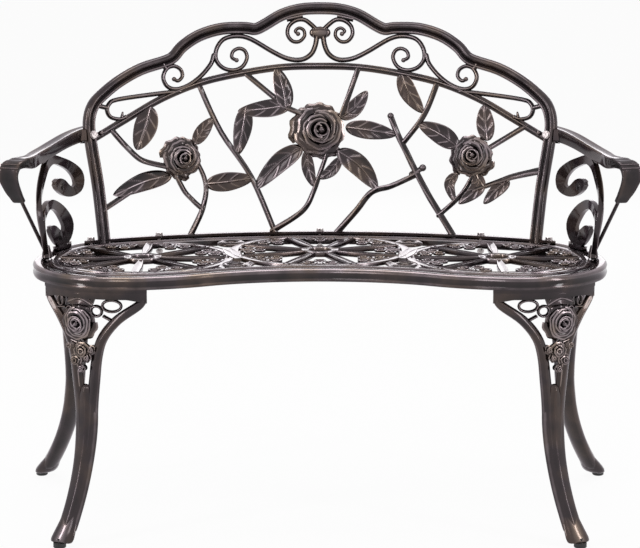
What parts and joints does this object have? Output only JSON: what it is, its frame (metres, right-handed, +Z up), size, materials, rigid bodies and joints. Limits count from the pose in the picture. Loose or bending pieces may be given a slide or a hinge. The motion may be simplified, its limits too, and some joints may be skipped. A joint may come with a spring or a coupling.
{
  "type": "garden bench",
  "caption": "Cast aluminium garden bench for two: openwork seat, bowed back of roses and branches, scrolled arms and cabriole legs, bolted together.",
  "frame": {"origin": "on the ground, in the middle of the bench's footprint", "axes": "+Z up, +X along the seat to the right of someone who looks at its front, +Y towards the back, so the bench faces -Y; left and right in node names are the viewer's"},
  "size_m": [1.0118, 0.5187, 0.821],
  "materials": {
    "casting": "antique dark bronze coating, semi-gloss, rubbed lighter on the ridges",
    "fastener": "darkened steel, satin",
    "glide": "moulded black"
  },
  "bodies": {
    "root": {"seat": "casting", "backrest": "casting", "arm_left": "casting", "arm_right": "casting", "leg_front_left": "casting", "leg_front_right": "casting", "leg_rear_left": "casting", "leg_rear_right": "casting", "glide_front_left": "glide", "glide_front_right": "glide", "glide_rear_left": "glide", "glide_rear_right": "glide", "back_bolts": "fastener", "back_nuts": "fastener", "leg_bolts": "fastener", "leg_washers": "fastener", "arm_leg_bolts": "fastener", "arm_stem_screws": "fastener", "arm_top_bolts": "fastener", "arm_top_nuts": "fastener"}
  },
  "joints": []
}
